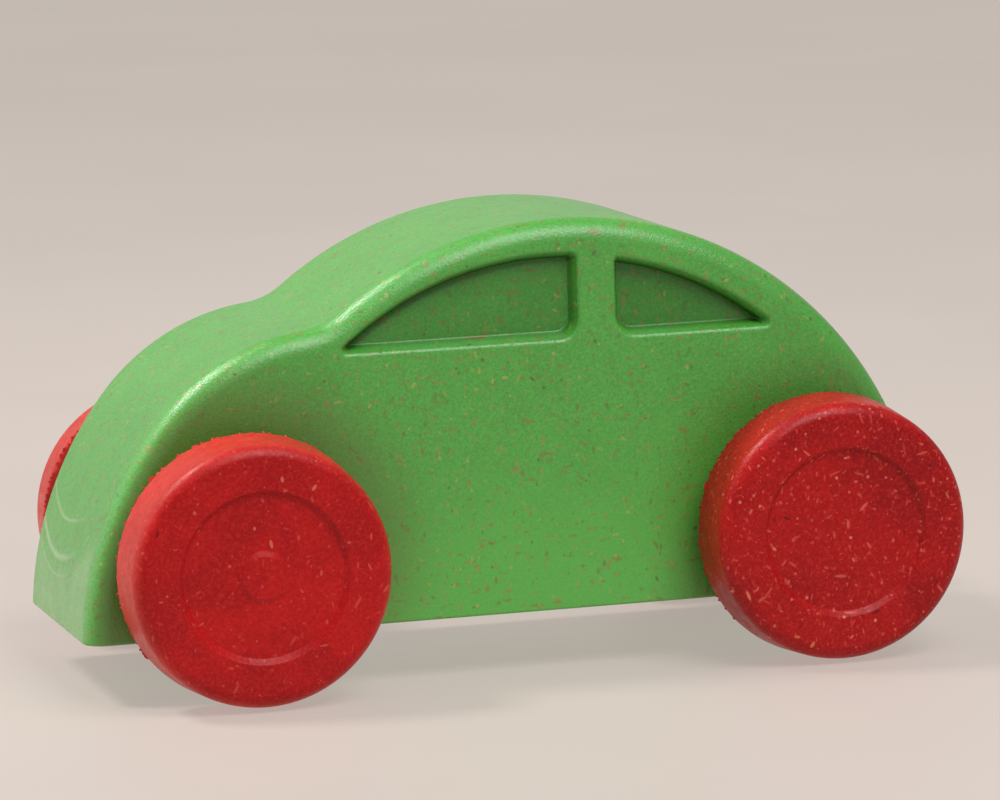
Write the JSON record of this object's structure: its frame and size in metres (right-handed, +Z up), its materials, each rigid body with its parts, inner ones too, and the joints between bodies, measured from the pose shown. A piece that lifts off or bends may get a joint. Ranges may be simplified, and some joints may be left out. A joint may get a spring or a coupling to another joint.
{
  "type": "pull back car",
  "caption": "Domed toy car with recessed side windows, thick disc wheels on steel axles, and a wind-up spring motor that drives the rear axle.",
  "frame": {"origin": "on the ground, under the middle of the car's length and width", "axes": "+X forward, +Y towards the car's left side, +Z up"},
  "size_m": [0.12, 0.0658, 0.0609],
  "materials": {
    "shell_green": "satin moulded wood-fibre plastic with brown and yellow flecks",
    "plate_green": "satin moulded wood-fibre plastic",
    "wheel_red": "semi-gloss moulded wood-fibre plastic with pale flecks",
    "steel": "bright drawn steel",
    "spring_steel": "blued spring strip",
    "case_grey": "fine matt moulded plastic",
    "gear_white": "natural acetal"
  },
  "bodies": {
    "chassis": {"body_shell": "shell_green", "base_plate": "plate_green", "base_screws": "steel", "motor_case_left": "case_grey", "motor_case_right": "case_grey", "motor_screws": "steel", "spring_divider": "case_grey", "clutch_pin": "steel", "transfer_pin": "steel", "spring_arbor": "steel"},
    "front_wheelset": {"front_axle": "steel", "front_left_wheel": "wheel_red", "front_right_wheel": "wheel_red"},
    "rear_wheelset": {"rear_axle": "steel", "rear_left_wheel": "wheel_red", "rear_right_wheel": "wheel_red", "drive_pinion": "gear_white"},
    "clutch": {"clutch_gear": "gear_white"},
    "transfer": {"transfer_gear": "gear_white"},
    "spring_drum": {"spring_gear": "gear_white", "mainspring": "spring_steel"}
  },
  "joints": [
    {"name": "rear_axle_spin", "type": "hinge", "parent": "chassis", "child": "rear_wheelset", "pos_m": [-0.0414, 0, 0.018], "axis": [0, 1, 0], "continuous": true},
    {"name": "front_axle_spin", "type": "hinge", "parent": "chassis", "child": "front_wheelset", "pos_m": [0.0386, 0, 0.018], "axis": [0, 1, 0], "continuous": true},
    {"name": "clutch_gear_spin", "type": "hinge", "parent": "chassis", "child": "clutch", "pos_m": [-0.03912, 0, 0.02355], "axis": [0, 1, 0], "continuous": true},
    {"name": "transfer_gear_spin", "type": "hinge", "parent": "chassis", "child": "transfer", "pos_m": [-0.03051, 0, 0.01953], "axis": [0, 1, 0], "continuous": true},
    {"name": "spring_gear_spin", "type": "hinge", "parent": "chassis", "child": "spring_drum", "pos_m": [-0.01967, 0, 0.02144], "axis": [0, 1, 0], "continuous": true}
  ],
  "couplings": [
    {"joint": "clutch_gear_spin", "follows": "rear_axle_spin", "ratio": -1},
    {"joint": "transfer_gear_spin", "follows": "rear_axle_spin", "ratio": 0.46154},
    {"joint": "spring_gear_spin", "follows": "rear_axle_spin", "ratio": -0.17308}
  ]
}
